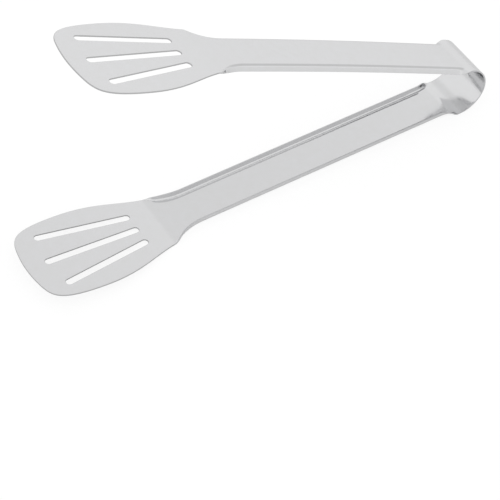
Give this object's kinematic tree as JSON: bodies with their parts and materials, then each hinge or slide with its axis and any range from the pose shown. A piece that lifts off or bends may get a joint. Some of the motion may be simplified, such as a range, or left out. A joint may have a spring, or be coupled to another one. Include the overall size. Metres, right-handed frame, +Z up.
{
  "type": "serving tongs",
  "caption": "Spring serving tongs folded from stainless sheet: rounded slotted blades on flanged channel arms that a springy bow joins; squeezing the arms closes the blades.",
  "frame": {"origin": "under the middle of the whole part, on the surface that the lower arm lies on, with the tongs sprung open", "axes": "+X along the lower arm towards the spring bow, +Y across the strip, +Z up"},
  "size_m": [0.2314, 0.046, 0.1161],
  "materials": {
    "arm_steel": "fine brushed stainless sheet",
    "blade_steel": "fine brushed stainless sheet",
    "bow_steel": "fine brushed stainless sheet, glossier where it is bent"
  },
  "bodies": {
    "lower_half": {"lower_blade": "blade_steel", "lower_arm": "arm_steel", "spring_bow": "bow_steel"},
    "upper_half": {"upper_arm": "arm_steel", "upper_blade": "blade_steel"}
  },
  "joints": [
    {"name": "squeeze", "type": "hinge", "parent": "lower_half", "child": "upper_half", "pos_m": [0.11165, 0, 0.01088], "axis": [0, -1, 0], "range_deg": [0, 28.25], "stiffness_Nm_per_rad": 3.8, "deforming": ["spring_bow"]}
  ]
}
